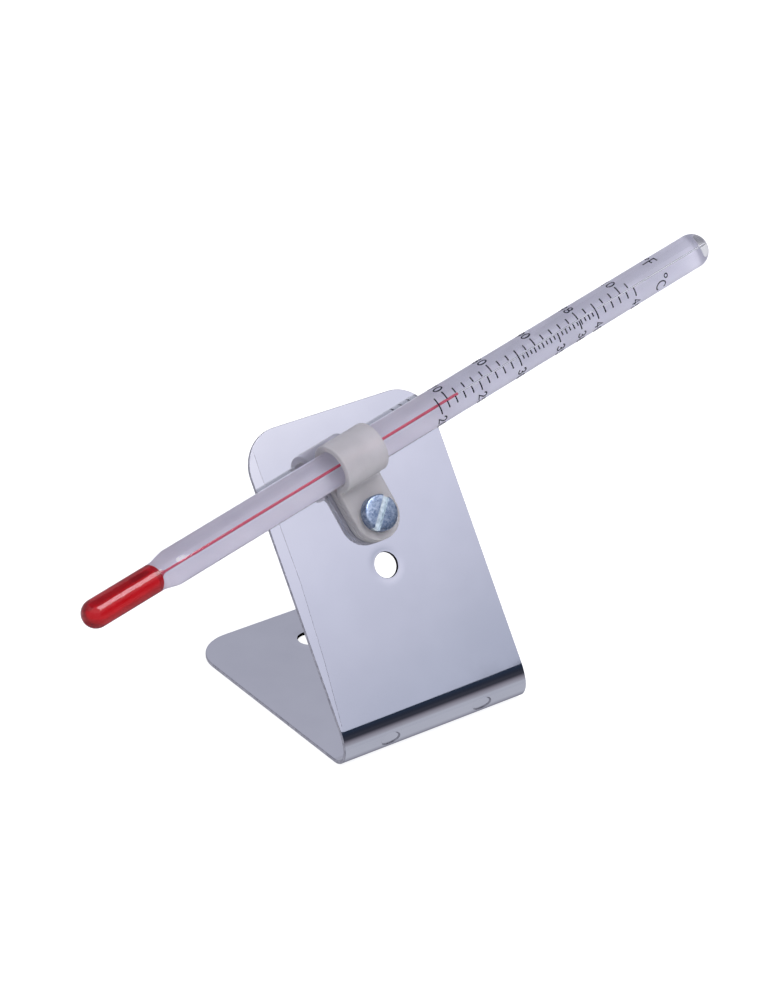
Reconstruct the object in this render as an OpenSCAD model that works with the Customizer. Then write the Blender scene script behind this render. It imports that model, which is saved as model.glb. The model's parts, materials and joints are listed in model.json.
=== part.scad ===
// Spirit-in-glass thermometer held by a nylon P-clip on a bent sheet-metal easel stand.
// The origin is the centre of the base screw hole on the underside of the base.
// +X runs across the stand, the panel faces -Y, and +Z points up.

/* [Stand] */
// Width of the bent sheet
stand_w = 42; // [30:0.5:60]
// Thickness of the sheet
sheet_t = 0.7; // [0.5:0.1:1.2]
// Length of the base from the bend's centre to the rear edge
base_len = 49.5; // [46:0.5:70]
// Length of the panel from the end of the bend to the top edge
panel_len = 59; // [48:0.5:80]
// Angle between the panel and the base
lean = 55; // [45:1:75]
// Outside radius of the bend
bend_r = 4; // [2.5:0.5:6]
// Radius of the rounded corners
corner_r = 8; // [3:0.5:12]
// Diameter of the three punched holes
hole_d = 5; // [4.4:0.1:6]
// Distance of the base screw hole from the bend's centre
base_hole_y = 38.5; // [20:0.5:40]
// Distance of the spare panel hole up the panel
spare_hole_s = 28; // [15:0.5:29]
// Distance of the clip's screw up the panel
screw_s = 37.5; // [36.5:0.5:45]
// Distance of each pressed dimple on the bend from the middle of the sheet
dimple_x = 10.6; // [8:0.1:12]
// Depth of the dimples
dimple_depth = 0.25; // [0.1:0.05:0.3]

/* [Clip] */
// Width of the strap along the stem
clip_w = 10; // [8:0.5:14]
// Thickness of the strap around the stem
strap_t = 1.3; // [1:0.1:1.6]
// Thickness of each of the two tails
tail_t = 1.4; // [1:0.1:1.6]
// Gap left between the two tails
tail_gap = 0.15; // [0.1:0.05:0.4]
// Distance from the screw's axis to the stem's axis
stem_offset = 11.6; // [10:0.1:14]
// Angle of the stem above the horizontal, in the plane of the panel
stem_turn = 11.2; // [-28:0.1:49]

/* [Screw] */
// Nominal diameter of the screw's thread
screw_d = 4; // [3.5:0.1:4]
// Diameter of the slotted head
head_d = 7; // [6:0.1:8]
// Height of the slotted head
head_h = 2.05; // [1.6:0.05:2.8]
// Length of the screw under its head
screw_len = 10; // [9.5:0.5:14]
// Direction of the slot, turned from straight up the panel towards +X
slot_turn = 38.5; // [-90:0.5:90]

/* [Stem] */
// Outside diameter of the glass stem
stem_d = 7; // [6:0.1:7.5]
// Distance from the clip's centre up to the rounded end of the stem
stem_up = 95; // [92:0.5:120]
// Distance from the clip's centre down to the tip of the bulb
stem_down = 64; // [62:0.5:80]
// Outside diameter of the bulb
bulb_d = 5.5; // [5.2:0.1:5.9]
// Length of the bulb, from its tip to its joint with the stem
bulb_len = 19; // [16:0.5:20]
// Length of the tapered shoulder
shoulder_len = 3.5; // [3:0.5:6]
// Thickness of the bulb's glass wall
bulb_wall = 0.4; // [0.4:0.05:0.8]
// Temperature at rest, in degrees Celsius
reading = 23; // [20:0.5:45]

/* [Scale] */
// Distance from the clip's centre to the 20 degree Celsius line
scale_start = 20.1; // [18:0.1:24]
// Length of one degree Celsius along the stem
degree_len = 2.09; // [1.9:0.01:2.2]
// Turn of the scale's middle line around the stem, away from the panel's normal
scale_turn = 4.2; // [-20:0.1:20]
// Width of a printed line
line_w = 0.3; // [0.15:0.01:0.35]

/* [Hidden] */
$fn = 96;

inner_r = bend_r - sheet_t;
bend_steps = 24;
hole_r = hole_d / 2;
dimple_ball_r = 10;
dimple_turn = 191;
eps = 0.01;

// The clip's frame: origin on the panel's face at the screw's axis, z along the panel's normal
stem_r = stem_d / 2;
clip_lift = 0.05;
bore_gap = 0.08;
bore_r = stem_r + bore_gap;
loop_r = bore_r + strap_t;
stem_z = clip_lift + loop_r;
tails_top = clip_lift + 2 * tail_t + tail_gap;
tail_r = clip_w / 2;
shank_gap = 0.08;
shank_r = screw_d / 2;

washer_r = 4.5;
washer_t = 0.8;
spring_r = 3.8;
spring_t = 0.9;
spring_slit = 0.9;
nut_flats = 7;
nut_h = 3.2;
thread_gap = 0.02;
slot_w = 1.2;
slot_depth = 1;
head_chamfer = 0.35;

// Places along the stem, measured from the clip's centre
bulb_r = bulb_d / 2;
bulb_top = bulb_len - stem_down;
shoulder_below = 2.3;
shoulder_foot = bulb_top - shoulder_below;
shoulder_top = shoulder_foot + shoulder_len;
joint_r = bulb_r + (stem_r - bulb_r) * shoulder_below / shoulder_len;
well_r = bulb_r - bulb_wall;
well_bottom = bulb_wall + well_r - stem_down;
well_roof = 1.7;
well_top = bulb_top - well_roof - well_r;
capillary_r = 0.5;
capillary_top = stem_up - 1.2;
thread_gap_r = 0.05;
column_r = capillary_r - thread_gap_r;
column_bore_r = 0.25;
core_r = column_bore_r - thread_gap_r;
column_foot = bulb_top + 5;
core_top = scale_start - 1.5;
liquid_gap = 0.01;
strip_r = 2.5;
strip_t = 0.5;
strip_half_turn = 62;
strip_foot = shoulder_top + 1;
strip_top = stem_up - stem_r + 0.5;

// Printed lines: half spans around the stem, in degrees from the scale's middle line
ink_t = 0.03;
coldest = 20;
hottest = 45;
fine_from = 30;
fine_to = 40;
incubation = 37.78;
near_turn = 2.5;
middle_turn = 0.5;
far_turn = 5.5;
short_turn = 15.5;
whole_turn = 19;
degree_turn = 25;
label_turn = 32;

// Level along the stem for a temperature in degrees Celsius
function level(celsius) = scale_start + degree_len * (celsius - coldest);
function to_celsius(fahrenheit) = (fahrenheit - 32) / 1.8;

// Moves children from the bend's centre line to the frame's origin
module from_bend() {
    translate([0, -base_hole_y, bend_r]) children();
}

// Panel frame: y runs up the panel's outer face from the end of the bend, z is its normal
module on_panel() {
    from_bend() rotate([lean, 0, 0]) translate([0, 0, bend_r]) children();
}

// Clip frame: x along the stem, y from the screw towards the stem, z the panel's normal
module at_clip() {
    on_panel() translate([0, screw_s, 0]) rotate(stem_turn) children();
}

// Stem frame: z along the stem from the clip's centre, -x towards the front of the scale
module on_stem() {
    at_clip() translate([0, stem_offset, stem_z]) rotate([0, 90, 0]) children();
}

// What a rounded far corner takes off a flat plate that is w wide and l long
module corner_waste(w, l, r) {
    for (side = [0, 1]) mirror([side, 0]) translate([w / 2 - r, l - r]) difference() {
        square(r + 1);
        circle(r + eps);
    }
}

// Points on an arc about the bend's centre, from one angle to another
function arc(r, from, to) =
    [for (i = [0 : bend_steps]) let (a = from + (to - from) * i / bend_steps) r * [cos(a), sin(a)]];

// The sheet's edge seen from the side, with the bend's centre at the origin and z as y
module sheet_profile() {
    up = [cos(lean), sin(lean)];
    out = [-sin(lean), cos(lean)];
    polygon(concat(
        [[base_len, -inner_r], [base_len, -bend_r]],
        arc(bend_r, 270, 90 + lean),
        [bend_r * out + panel_len * up, inner_r * out + panel_len * up],
        arc(inner_r, 90 + lean, 270)
    ));
}

module stand() {
    color([0.72, 0.73, 0.80]) difference() {
        from_bend() translate([-stand_w / 2, 0, 0]) rotate([90, 0, 90])
            linear_extrude(stand_w) sheet_profile();
        from_bend() translate([0, 0, -bend_r - 1]) linear_extrude(sheet_t + 2) {
            corner_waste(stand_w, base_len, corner_r);
            translate([0, base_hole_y]) circle(hole_r);
        }
        on_panel() translate([0, 0, -sheet_t - 1]) linear_extrude(sheet_t + 2) {
            corner_waste(stand_w, panel_len, corner_r);
            for (s = [spare_hole_s, screw_s]) translate([0, s]) circle(hole_r);
        }
        for (x = [-dimple_x, dimple_x]) from_bend() translate([x, 0, 0])
            rotate([dimple_turn, 0, 0]) translate([0, bend_r + dimple_ball_r - dimple_depth, 0])
            sphere(dimple_ball_r);
    }
}

// One flat tail with a round end about the screw's axis
module tail(z, l) {
    translate([0, 0, z]) linear_extrude(tail_t) {
        circle(tail_r);
        translate([-clip_w / 2, 0]) square([clip_w, l]);
    }
}

module p_clip() {
    color([0.83, 0.82, 0.76]) at_clip() difference() {
        union() {
            tail(clip_lift, stem_offset);
            tail(clip_lift + tail_t + tail_gap, stem_offset - bore_r / 2);
            translate([-clip_w / 2, stem_offset, stem_z]) rotate([0, 90, 0])
                cylinder(h = clip_w, r = loop_r);
        }
        translate([-clip_w, stem_offset, stem_z]) rotate([0, 90, 0])
            cylinder(h = 2 * clip_w, r = bore_r);
        translate([-clip_w, -clip_w, clip_lift + tail_t])
            cube([2 * clip_w, clip_w + stem_offset - 0.9, tail_gap]);
        translate([0, 0, -eps]) cylinder(h = tails_top + 1, r = shank_r + shank_gap);
    }
}

module clip_screw() {
    color([0.62, 0.68, 0.80]) at_clip() translate([0, 0, tails_top]) difference() {
        union() {
            translate([0, 0, -screw_len]) cylinder(h = screw_len + eps, r = shank_r);
            cylinder(h = head_h - head_chamfer, d = head_d);
            translate([0, 0, head_h - head_chamfer])
                cylinder(h = head_chamfer, r1 = head_d / 2, r2 = head_d / 2 - head_chamfer);
        }
        rotate(-stem_turn - slot_turn) translate([-slot_w / 2, -head_d, head_h - slot_depth])
            cube([slot_w, 2 * head_d, slot_depth + 1]);
    }
}

module ring(h, outer, inner) {
    difference() {
        cylinder(h = h, r = outer);
        translate([0, 0, -1]) cylinder(h = h + 2, r = inner);
    }
}

module plain_washer() {
    color([0.70, 0.72, 0.76]) at_clip() translate([0, 0, -sheet_t - washer_t])
        ring(washer_t, washer_r, shank_r + 0.15);
}

module spring_washer() {
    color([0.60, 0.62, 0.66]) at_clip() translate([0, 0, -sheet_t - washer_t - spring_t])
        difference() {
            ring(spring_t, spring_r, shank_r + 0.05);
            rotate([0, 18, 0]) translate([-spring_slit / 2, 0, -2]) cube([spring_slit, 6, 6]);
        }
}

module hex_nut() {
    color([0.66, 0.69, 0.76]) at_clip()
        translate([0, 0, -sheet_t - washer_t - spring_t - nut_h]) difference() {
            cylinder(h = nut_h, d = nut_flats / cos(30), $fn = 6);
            translate([0, 0, -1]) cylinder(h = nut_h + 2, r = shank_r + thread_gap);
        }
}

// The strip of white glass behind the capillary
module strip_shape() {
    translate([0, 0, strip_foot]) rotate(-strip_half_turn)
        rotate_extrude(angle = 2 * strip_half_turn)
        translate([strip_r, 0]) square([strip_t, strip_top - strip_foot]);
}

module stem_glass() {
    color([0.86, 0.88, 0.93, 0.6]) on_stem() difference() {
        union() {
            translate([0, 0, bulb_top])
                cylinder(h = shoulder_top - bulb_top, r1 = joint_r, r2 = stem_r);
            translate([0, 0, shoulder_top])
                cylinder(h = stem_up - stem_r - shoulder_top, r = stem_r);
            translate([0, 0, stem_up - stem_r]) sphere(stem_r);
        }
        translate([0, 0, bulb_top - 1]) cylinder(h = capillary_top - bulb_top + 1, r = capillary_r);
        strip_shape();
    }
}

module enamel_strip() {
    color([0.97, 0.97, 0.97]) on_stem() strip_shape();
}

// A capsule with round ends centred at z0 and z1
module capsule(z0, z1, r) {
    translate([0, 0, z0]) cylinder(h = z1 - z0, r = r);
    translate([0, 0, z0]) sphere(r);
    translate([0, 0, z1]) sphere(r);
}

module bulb_glass() {
    color([0.90, 0.86, 0.88, 0.5]) on_stem() difference() {
        union() {
            translate([0, 0, bulb_r - stem_down]) sphere(bulb_r);
            translate([0, 0, bulb_r - stem_down])
                cylinder(h = bulb_len - bulb_r - shoulder_below, r = bulb_r);
            translate([0, 0, shoulder_foot])
                cylinder(h = shoulder_below, r1 = bulb_r, r2 = joint_r);
        }
        capsule(well_bottom, well_top, well_r);
        translate([0, 0, well_top]) cylinder(h = well_r + well_roof + 1, r = capillary_r);
    }
}

// The spirit in the bulb with the thread that never leaves the capillary
module spirit_reservoir() {
    color([0.72, 0.03, 0.08]) on_stem() {
        capsule(well_bottom, well_top, well_r - liquid_gap);
        translate([0, 0, well_top]) cylinder(h = core_top - well_top, r = core_r);
    }
}

module spirit_column() {
    color([0.85, 0.05, 0.10]) on_stem() translate([0, 0, column_foot]) difference() {
        cylinder(h = level(reading) - column_foot, r = column_r);
        translate([0, 0, -1])
            cylinder(h = level(reading) - column_foot + 2, r = column_bore_r);
    }
}

// A printed line around the stem between two turns from the scale's middle line
module printed_line(z, from_turn, to_turn) {
    translate([0, 0, z - line_w / 2]) rotate(180 - scale_turn - to_turn)
        rotate_extrude(angle = to_turn - from_turn)
        translate([stem_r, 0]) square([ink_t, line_w]);
}

module celsius_scale() {
    color([0.05, 0.05, 0.06]) on_stem() {
        for (t = [coldest : hottest]) {
            fine = t > fine_from && t < fine_to;
            span = t % 5 == 0 ? label_turn : fine ? whole_turn : degree_turn;
            start = t % 10 == 0 ? degree_turn : fine ? -middle_turn : -near_turn;
            printed_line(level(t), -span, start);
        }
        for (t = [fine_from : fine_to - 1]) {
            printed_line(level(t + 0.5), -short_turn, -near_turn);
        }
        printed_line(level(incubation), -label_turn, -near_turn);
    }
}

module fahrenheit_scale() {
    color([0.05, 0.05, 0.06]) on_stem() for (f = [70 : 2 : 112]) {
        if (f != 86 && f != 104) {
            labelled = f % 10 == 0;
            span = labelled ? label_turn : degree_turn;
            printed_line(level(to_celsius(f)), labelled ? near_turn : far_turn, span);
        }
    }
}

stand();
p_clip();
clip_screw();
plain_washer();
spring_washer();
hex_nut();
stem_glass();
bulb_glass();
enamel_strip();
spirit_reservoir();
spirit_column();
celsius_scale();
fahrenheit_scale();
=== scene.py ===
import json
import math

import bpy
import numpy as np
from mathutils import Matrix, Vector, geometry


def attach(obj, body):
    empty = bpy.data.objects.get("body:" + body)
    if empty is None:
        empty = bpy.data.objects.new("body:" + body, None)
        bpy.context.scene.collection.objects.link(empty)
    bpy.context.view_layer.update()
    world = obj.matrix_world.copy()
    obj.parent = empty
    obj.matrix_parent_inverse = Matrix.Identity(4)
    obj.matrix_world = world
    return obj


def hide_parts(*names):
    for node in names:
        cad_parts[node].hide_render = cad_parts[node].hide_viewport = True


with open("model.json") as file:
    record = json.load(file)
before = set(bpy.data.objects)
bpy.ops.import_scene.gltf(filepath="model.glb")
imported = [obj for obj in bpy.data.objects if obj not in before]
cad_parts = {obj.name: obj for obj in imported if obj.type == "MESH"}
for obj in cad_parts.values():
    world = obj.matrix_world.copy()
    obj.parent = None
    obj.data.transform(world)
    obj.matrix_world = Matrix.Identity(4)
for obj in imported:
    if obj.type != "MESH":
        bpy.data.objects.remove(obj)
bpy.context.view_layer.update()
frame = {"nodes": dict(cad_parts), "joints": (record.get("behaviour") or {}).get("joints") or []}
MM = 0.001

# ---------------------------------------------------------------- sizes, in millimetres
SHEET_W, SHEET_T = 42.0, 0.7
BASE_LEN, PANEL_LEN = 49.5, 59.0
BEND_R, LEAN = 4.0, math.radians(55)
BEND_Y = -38.5
CORNER_R, HOLE_R = 8.0, 2.5
BASE_HOLE, SPARE_HOLE, SCREW_HOLE = 38.5, 28.0, 37.5

CLIP_W, TAIL_T, STRAP_T = 10.0, 1.4, 1.3
CLIP_LIFT, TAIL_GAP = 0.05, 0.15
STEM_OFF, STEM_Z = 11.6, 4.93
BORE_R, LOOP_R = 3.58, 4.88

SCREW_R, HEAD_R, HEAD_H, SCREW_LEN = 2.0, 3.5, 2.05, 10.0
TAILS_TOP = 3.0
SLOT_W, SLOT_DEPTH, SLOT_TURN = 1.2, 1.0, math.radians(38.5)
WASHER_R, WASHER_T = 4.5, 0.8
SPRING_R, SPRING_T = 3.8, 0.9
NUT_FLATS, NUT_H = 7.0, 3.2

STEM_R, STEM_TOP = 3.5, 95.0
BULB_R, BULB_WALL, BULB_TIP = 2.75, 0.4, -64.0
SHOULDER_FOOT, SHOULDER_TOP = -47.3, -43.8
WELL_R, WELL_TOP = BULB_R - BULB_WALL, -46.7
STRIP_R0, STRIP_R1, STRIP_HALF = 2.5, 3.0, math.radians(62)
STRIP_FOOT, STRIP_TOP, CAPILLARY_TOP = -46.8, 93.6, 93.8
THREAD_R, THREAD_BORE, CORE_R, BORE_LINE_R = 0.165, 0.15, 0.14, 0.09
COLUMN_FOOT, CORE_TOP, LEVEL = -39.2, 18.6, 26.37
SCALE_START, DEGREE = 20.1, 2.09

# ---------------------------------------------------------------- frames of the parts
joints = {j["name"]: j for j in frame["joints"]}
X = np.array([1.0, 0.0, 0.0])
UP = np.array([0.0, math.cos(LEAN), math.sin(LEAN)])
NORMAL = np.array([0.0, -math.sin(LEAN), math.cos(LEAN)])
BEND = np.array([0.0, BEND_Y, BEND_R])
PANEL_FOOT = BEND + BEND_R * NORMAL
SCREW_AT = np.array(joints["clip_swivel"]["pos_m"]) / MM
ALONG = np.array(joints["stem_slide"]["axis"], float)
ALONG /= np.linalg.norm(ALONG)
ACROSS = np.cross(NORMAL, ALONG)
STEM_AT = SCREW_AT + STEM_OFF * ACROSS + STEM_Z * NORMAL


def on_stem(along, turn, r):
    """Points on the stem: turn runs from the panel's normal towards the stem's upper edge."""
    along, turn, r = np.broadcast_arrays(*(np.asarray(v, float) for v in (along, turn, r)))
    out = np.cos(turn)[..., None] * NORMAL + np.sin(turn)[..., None] * ACROSS
    return STEM_AT + along[..., None] * ALONG + r[..., None] * out


def on_screw(z, turn, r):
    """Points about the screw's axis: z from the panel's face, turn from the clip's across."""
    z, turn, r = np.broadcast_arrays(*(np.asarray(v, float) for v in (z, turn, r)))
    out = np.cos(turn)[..., None] * ACROSS + np.sin(turn)[..., None] * ALONG
    return SCREW_AT + z[..., None] * NORMAL + r[..., None] * out


# ---------------------------------------------------------------- mesh helpers
def outward(verts, faces):
    """The faces with their normals outward, judged by the volume they enclose."""
    volume = 0.0
    for face in faces:
        a, b, c = verts[face[0]], verts[face[1:-1]], verts[face[2:]]
        volume += float((np.cross(b, c) @ a).sum())
    return faces if volume > 0 else [face[::-1] for face in faces]


def add_piece(name, verts, faces, body, materials, node=None, sharp=32, indices=None,
              normals=None):
    """A mesh that rides a body and stands in for its CAD nodes; verts are in millimetres."""
    verts = np.asarray(verts, float)
    faces = outward(verts - verts.mean(0), faces)
    mesh = bpy.data.meshes.new(name)
    mesh.from_pydata((verts * MM).tolist(), [], faces)
    mesh.validate()
    for material in materials:
        mesh.materials.append(material)
    if indices is not None:
        mesh.polygons.foreach_set("material_index", indices)
    mesh.shade_smooth()
    if normals is None:
        mesh.set_sharp_from_angle(angle=math.radians(sharp))
    else:
        mesh.normals_split_custom_set_from_vertices(normals.tolist())
    mesh.update()
    piece = bpy.data.objects.new(name, mesh)
    bpy.context.scene.collection.objects.link(piece)
    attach(piece, body)
    if node:
        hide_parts(*([node] if isinstance(node, str) else node))
    return piece


def grid_faces(rows, cols, wrap_rows=False, wrap_cols=True, base=0, flip=False):
    """Quads between the rows of a rows x cols grid of vertices."""
    faces = []
    for i in range(rows if wrap_rows else rows - 1):
        for j in range(cols if wrap_cols else cols - 1):
            a, b = i * cols + j, i * cols + (j + 1) % cols
            k = (i + 1) % rows
            c, d = k * cols + (j + 1) % cols, k * cols + j
            quad = [base + a, base + b, base + c, base + d]
            faces.append(quad[::-1] if flip else quad)
    return faces


def lathe(place, profile, segs, closed=False, flip=False):
    """Turns (along, radius) points. A closed profile makes a ring; an open one ends on the axis."""
    turns = np.linspace(0, 2 * math.pi, segs, endpoint=False)
    prof = np.asarray(profile, float)
    inner = prof if closed else prof[1:-1]
    verts = place(inner[:, 0][:, None], turns[None, :], inner[:, 1][:, None]).reshape(-1, 3)
    faces = grid_faces(len(inner), segs, wrap_rows=closed, flip=flip)
    if not closed:
        ends = place(prof[[0, -1], 0], np.zeros(2), np.zeros(2))
        first, last = len(verts), len(verts) + 1
        verts = np.vstack([verts, ends])
        top = (len(inner) - 1) * segs
        for j in range(segs):
            k = (j + 1) % segs
            a, b = [first, k, j], [last, top + j, top + k]
            faces += [a[::-1], b[::-1]] if flip else [a, b]
    return verts, faces


def joined(*parts):
    """One vertex and face list out of several."""
    verts, faces = [], []
    for v, f in parts:
        base = sum(len(w) for w in verts)
        verts.append(v)
        faces += [[i + base for i in face] for face in f]
    return np.vstack(verts), faces


def smooth(edge0, edge1, v):
    """A softened step from 0 at edge0 to 1 at edge1."""
    t = np.clip((v - edge0) / (edge1 - edge0), 0, 1)
    return t * t * (3 - 2 * t)


# ---------------------------------------------------------------- bent sheet and strap
def rounded_rect(width, length, r, step):
    """Boundary of a flat pattern from (0, 0) up to length, with its outward directions."""
    pts, outs = [], []

    def line(a, b, out):
        n = max(1, round(math.dist(a, b) / step))
        for i in range(n):
            pts.append([a[k] + (b[k] - a[k]) * i / n for k in (0, 1)])
            outs.append(out)

    def arc(cx, cy, start):
        n = max(10, round(r * math.pi / 2 / (step * 0.45)))
        for i in range(n):
            a = math.radians(start + 90 * i / n)
            pts.append([cx + r * math.cos(a), cy + r * math.sin(a)])
            outs.append([math.cos(a), math.sin(a)])

    h = width / 2
    if h > r:
        line((-h + r, 0), (h - r, 0), [0, -1])
    arc(h - r, r, -90)
    line((h, r), (h, length - r), [1, 0])
    arc(h - r, length - r, 0)
    if h > r:
        line((h - r, length), (-h + r, length), [0, 1])
    arc(-h + r, length - r, 90)
    line((-h, length - r), (-h, r), [-1, 0])
    arc(-h + r, r, 180)
    return np.array(pts), np.array(outs)


def circle_loop(cx, cy, r, n=56):
    """A hole's boundary, with directions that point into the hole."""
    a = np.linspace(0, 2 * math.pi, n, endpoint=False)
    ring = np.stack([np.cos(a), np.sin(a)], 1)
    return np.array([cx, cy]) + r * ring, -ring


def inside_pattern(p, width, length, r, holes, margin=0.0):
    """Whether flat points lie in the rounded rectangle, clear of its holes."""
    h = width / 2
    qx = np.abs(p[:, 0]) - (h - r)
    qy = np.abs(p[:, 1] - length / 2) - (length / 2 - r)
    away = np.hypot(np.maximum(qx, 0), np.maximum(qy, 0)) + np.minimum(np.maximum(qx, qy), 0) - r
    ok = away < -margin
    for cx, cy, hr in holes:
        ok &= np.hypot(p[:, 0] - cx, p[:, 1] - cy) > hr + margin
    return ok


def folded_sheet(width, length, r, holes, points, place, edge, step, rim_steps=3):
    """Folds a flat pattern into a closed sheet with rounded edges.

    place(x, s, side) gives position, face normal, along and across directions, where side is
    +1 on the outer face and -1 on the inner one. Returns verts, faces, which faces are cut
    edge, and the vertex normals.
    """
    loops = [rounded_rect(width, length, r, step)] + [circle_loop(*hole) for hole in holes]
    sheet = [flat - outs * edge for flat, outs in loops]
    boundary = np.vstack(sheet)
    edges, base = [], 0
    for loop in sheet:
        n = len(loop)
        edges += [(base + i, base + (i + 1) % n) for i in range(n)]
        base += n
    clear = inside_pattern(points, width, length, r, holes, margin=edge + 0.04)
    flat = np.vstack([boundary, points[clear]])
    co, _, tris, _, _, _ = geometry.delaunay_2d_cdt([Vector(p) for p in flat], edges, [], 0, 1e-6)
    co = np.array([tuple(v) for v in co])
    tris = np.array(tris)
    tris = tris[inside_pattern(co[tris].mean(1), width, length, r, holes, margin=edge * 0.5)]
    verts, norms, faces, cut = [], [], [], []
    for side in (1, -1):
        pos, nrm, _, _ = place(co[:, 0], co[:, 1], np.full(len(co), side))
        base = 0 if side > 0 else len(co)
        verts.append(pos)
        norms.append(nrm)
        faces += [[base + i for i in (t if side > 0 else t[::-1])] for t in tris.tolist()]
        cut += [0] * len(tris)
    count = 2 * len(co)
    start = 0
    for (loop, outs), inset in zip(loops, sheet):
        n = len(loop)
        rows = [np.arange(start, start + n)]
        for side in (1, -1):
            turns = [math.pi / 2 * k / rim_steps for k in range(1, rim_steps + 1)]
            if side < 0:
                turns = [math.pi / 2 * k / rim_steps for k in range(rim_steps, 0, -1)]
            for a in turns:
                where = inset + outs * edge * math.sin(a)
                pos, nrm, along, across = place(where[:, 0], where[:, 1], np.full(n, side))
                outward = outs[:, :1] * across + outs[:, 1:] * along
                verts.append(pos - nrm * edge * (1 - math.cos(a)))
                norms.append(nrm * math.cos(a) + outward * math.sin(a))
                rows.append(np.arange(count, count + n))
                count += n
        rows.append(np.arange(len(co) + start, len(co) + start + n))
        for upper, lower in zip(rows, rows[1:]):
            for i in range(n):
                k = (i + 1) % n
                faces.append([int(upper[i]), int(lower[i]), int(lower[k]), int(upper[k])])
                cut.append(1)
        start += n
    norms = np.vstack(norms)
    norms /= np.linalg.norm(norms, axis=1)[:, None]
    return np.vstack(verts), faces, cut, norms


def bumped(height, x, s, nrm, along, across, side):
    """Moves a face out by height(x, s) and tilts its normals to match."""
    d = 0.01
    h = height(x, s)
    dx = (height(x + d, s) - height(x - d, s)) / (2 * d)
    ds = (height(x, s + d) - height(x, s - d)) / (2 * d)
    out = nrm * side[:, None]
    tilt = nrm - side[:, None] * (dx[:, None] * across + ds[:, None] * along)
    return out * h[:, None], tilt / np.linalg.norm(tilt, axis=1)[:, None]


# The stand: s runs from the base's rear edge, round the bend and up the panel
BEND_LEN = BEND_R * math.radians(180 - 55)
PANEL_S = BASE_LEN + BEND_LEN
STAND_LEN = PANEL_S + PANEL_LEN
DIMPLES = [(-10.7, BASE_LEN + 5.4), (10.5, BASE_LEN + 5.4)]
DIMPLE_RX, DIMPLE_RS, DIMPLE_DEPTH, DIMPLE_LIP = 2.25, 1.5, 0.24, 0.84
CREASE_HALF = 0.05
# The panel eases into the bend a little above the true arc
EASE_AT, EASE_UP, EASE_DOWN, EASE_DEPTH = PANEL_S - 1.2, 2.8, 5.5, 0.33
CREASE = [(0, 0.35), (6, 0.9), (15, 1.7), (30, 2.45), (44, 2.3), (52, 2.1), (59, 2.3)]


def crease_x(s):
    """Where the line beside the panel's turned-down margin lies across the sheet."""
    up, inset = zip(*CREASE)
    return -SHEET_W / 2 + np.interp(s - PANEL_S, up, inset)


def stand_height(x, s):
    """Small departures from a true sheet: turned-down margin, dimples, dished holes, waves."""
    d = x - crease_x(s)
    on_panel = smooth(PANEL_S + 0.3, PANEL_S + 3, s) * (1 - smooth(STAND_LEN - 5, STAND_LEN - 1, s))
    h = on_panel * -0.012 * np.clip(-d, 0, 4)
    for cx, cs in DIMPLES:
        r = np.hypot((x - cx) / DIMPLE_RX, (s - cs) / DIMPLE_RS)
        h -= DIMPLE_DEPTH * (1 - smooth(DIMPLE_LIP, 1.0, r))
    for hs in (PANEL_S + SPARE_HOLE, BASE_LEN - BASE_HOLE):
        r = np.hypot(x, s - hs)
        h -= 0.020 * np.exp(-(((r - HOLE_R) / 0.8) ** 2))
    away = s - EASE_AT
    reach = np.where(away > 0, EASE_UP, EASE_DOWN)
    h -= EASE_DEPTH * 0.5 * (1 + np.cos(math.pi * np.clip(away / reach, -1, 1)))
    waves = np.sin(x / 9.1 + s / 23) * np.sin(s / 13.7 + 1.1) + 0.6 * np.sin(x / 5.3 - s / 17 + 2)
    flat = smooth(PANEL_S, PANEL_S + 8, s)
    return h - 0.004 * flat * (1 + waves * 0.5)


def stand_place(x, s, side):
    """Folds flat points: base, then round the bend, then up the panel."""
    s_bend = np.clip(s - BASE_LEN, 0, BEND_LEN)
    a = 1.5 * math.pi - s_bend / BEND_R
    nrm = np.stack([0 * a, np.cos(a), np.sin(a)], 1)
    along = np.stack([0 * a, np.sin(a), -np.cos(a)], 1)
    beyond = np.where(s < BASE_LEN, s - BASE_LEN, np.maximum(s - PANEL_S, 0))
    across = np.broadcast_to(X, nrm.shape)
    pos = BEND + nrm * BEND_R + along * beyond[:, None] + across * x[:, None]
    pos = pos - nrm * (SHEET_T * (side < 0))[:, None]
    shift, tilt = bumped(stand_height, x, s, nrm * side[:, None], along, across, side)
    return pos + shift, tilt, along, across


def grid(x0, x1, s0, s1, dx, ds):
    """Flat points spaced by about dx and ds."""
    xs = np.linspace(x0, x1, max(2, round((x1 - x0) / dx) + 1))
    ss = np.linspace(s0, s1, max(2, round((s1 - s0) / ds) + 1))
    gx, gs = np.meshgrid(xs, ss)
    return np.stack([gx.ravel(), gs.ravel()], 1)


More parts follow.
